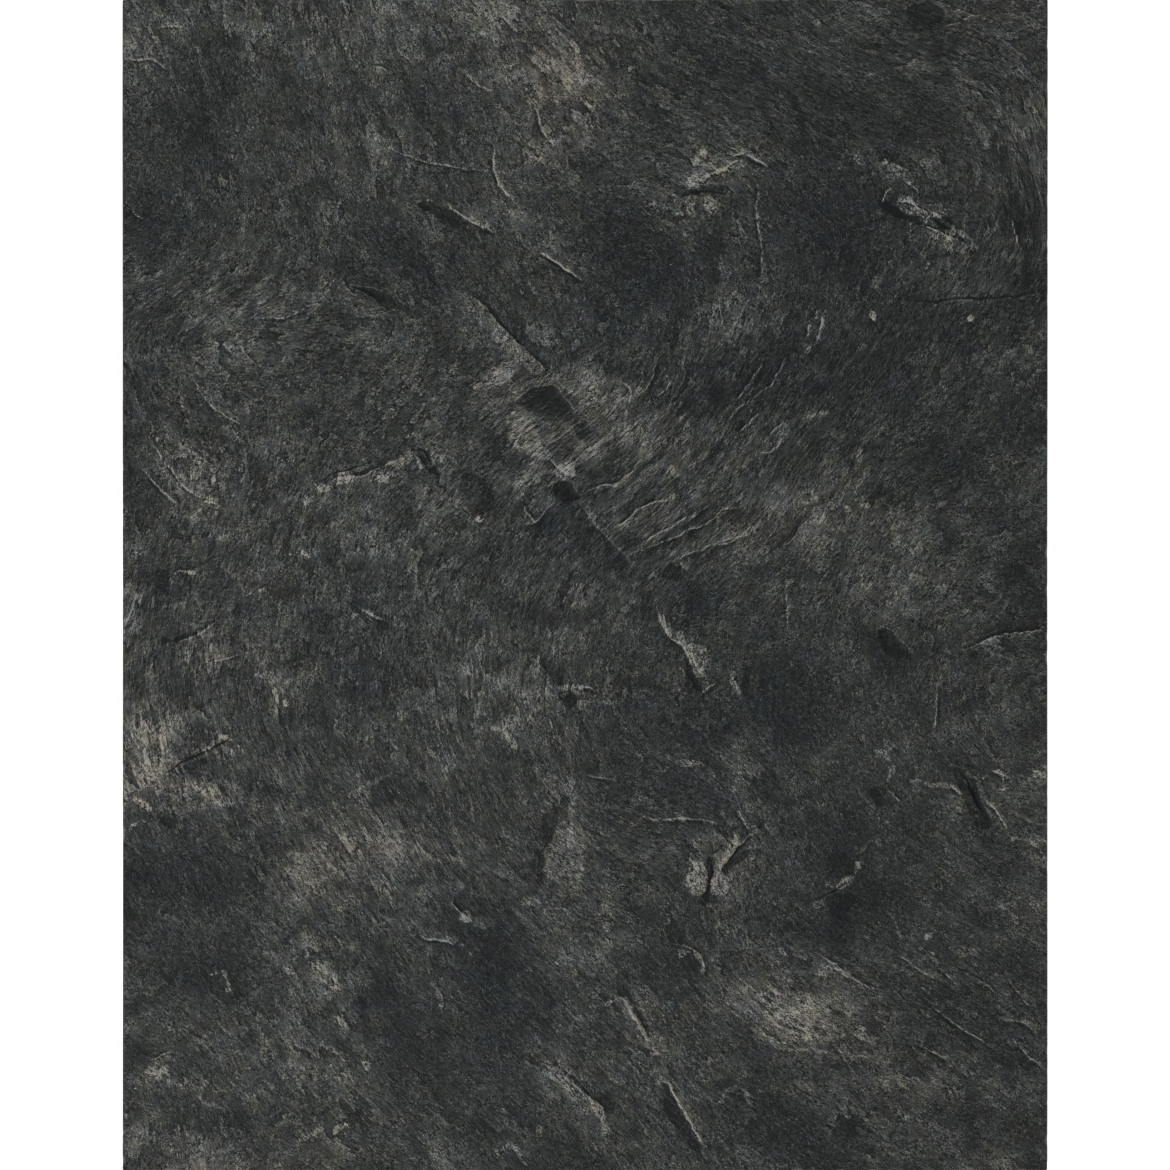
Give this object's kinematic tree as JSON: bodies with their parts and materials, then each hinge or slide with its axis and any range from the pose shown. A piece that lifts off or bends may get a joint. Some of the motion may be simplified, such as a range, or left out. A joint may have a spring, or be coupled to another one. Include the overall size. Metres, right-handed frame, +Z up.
{
  "type": "slate slab",
  "caption": "Thin rectangular slab of dark slate with a natural split face, a flat gauged back and square sawn edges, for laying flat as a hearth, step or paving.",
  "frame": {"origin": "middle of the flat gauged back, which is the face the slab lies on", "axes": "+Z up out of the split face, +Y along the slab's length, +X across its width"},
  "size_m": [0.9, 1.14, 0.0321],
  "materials": {
    "slate": "natural split slate, dark blue-grey with paler brown-grey dusting, satin matt"
  },
  "bodies": {
    "root": {"slate_slab": "slate"}
  },
  "joints": []
}
